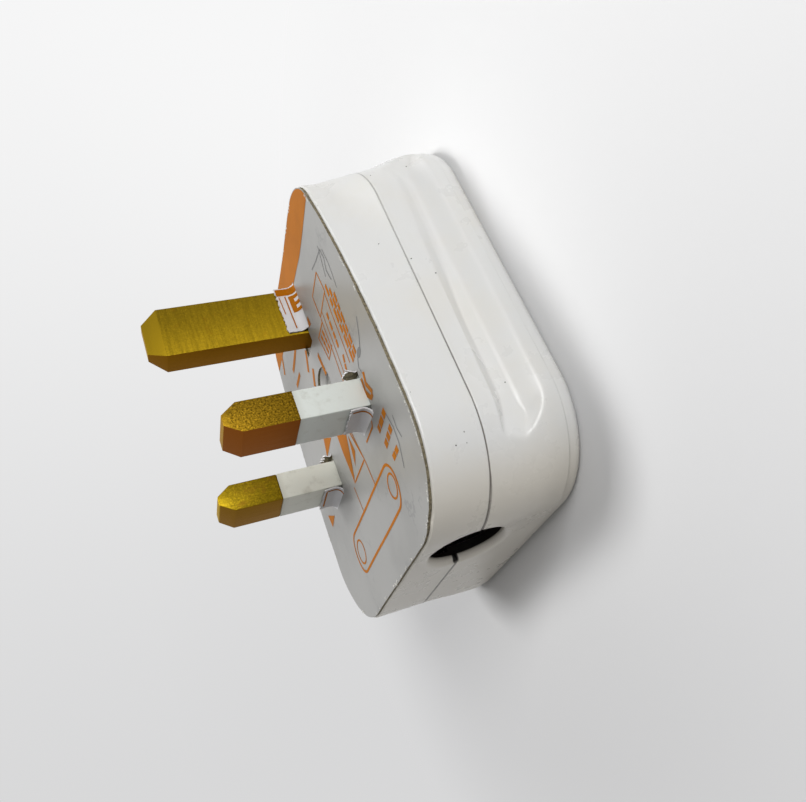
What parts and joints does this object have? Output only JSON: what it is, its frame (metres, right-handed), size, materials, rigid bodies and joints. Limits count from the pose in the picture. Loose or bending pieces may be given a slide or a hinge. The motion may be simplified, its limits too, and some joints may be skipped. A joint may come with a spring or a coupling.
{
  "type": "three pin mains plug",
  "caption": "Rewirable UK mains plug: white two-part housing with finger scoops, brass pins with sleeves, printed wiring card and an open cord entry.",
  "frame": {"origin": "on the cover's flat back, under the middle of the line and neutral pins", "axes": "+Z the way the pins point, +Y from the line and neutral pins towards the earth pin, +X the neutral side"},
  "size_m": [0.0516, 0.0529, 0.0415],
  "materials": {
    "housing": "glossy moulded plastic",
    "card": "printed card, creased and smudged",
    "pin_brass": "brushed, tarnished",
    "sleeve": "satin",
    "terminal_brass": "plain",
    "spring_brass": "plain",
    "fuse_ceramic": "matte",
    "fuse_metal": "plated",
    "screw_steel": "zinc plated",
    "fibre": "pressed fibre"
  },
  "bodies": {
    "root": {"base": "housing", "cover": "housing", "wiring_card": "card", "earth_pin": "pin_brass", "neutral_pin": "pin_brass", "line_pin": "pin_brass", "neutral_sleeve": "sleeve", "line_sleeve": "sleeve", "line_terminal": "terminal_brass", "cover_insert": "terminal_brass", "pin_fuse_clip": "spring_brass", "terminal_fuse_clip": "spring_brass", "fuse_tube": "fuse_ceramic", "fuse_cap_pin_end": "fuse_metal", "fuse_cap_terminal_end": "fuse_metal", "fuse_element": "fuse_metal", "terminal_screws": "screw_steel", "cord_grip_screws": "screw_steel", "cover_screw": "screw_steel", "cord_grip_bar": "fibre", "cover_screw_washer": "fibre"}
  },
  "joints": []
}
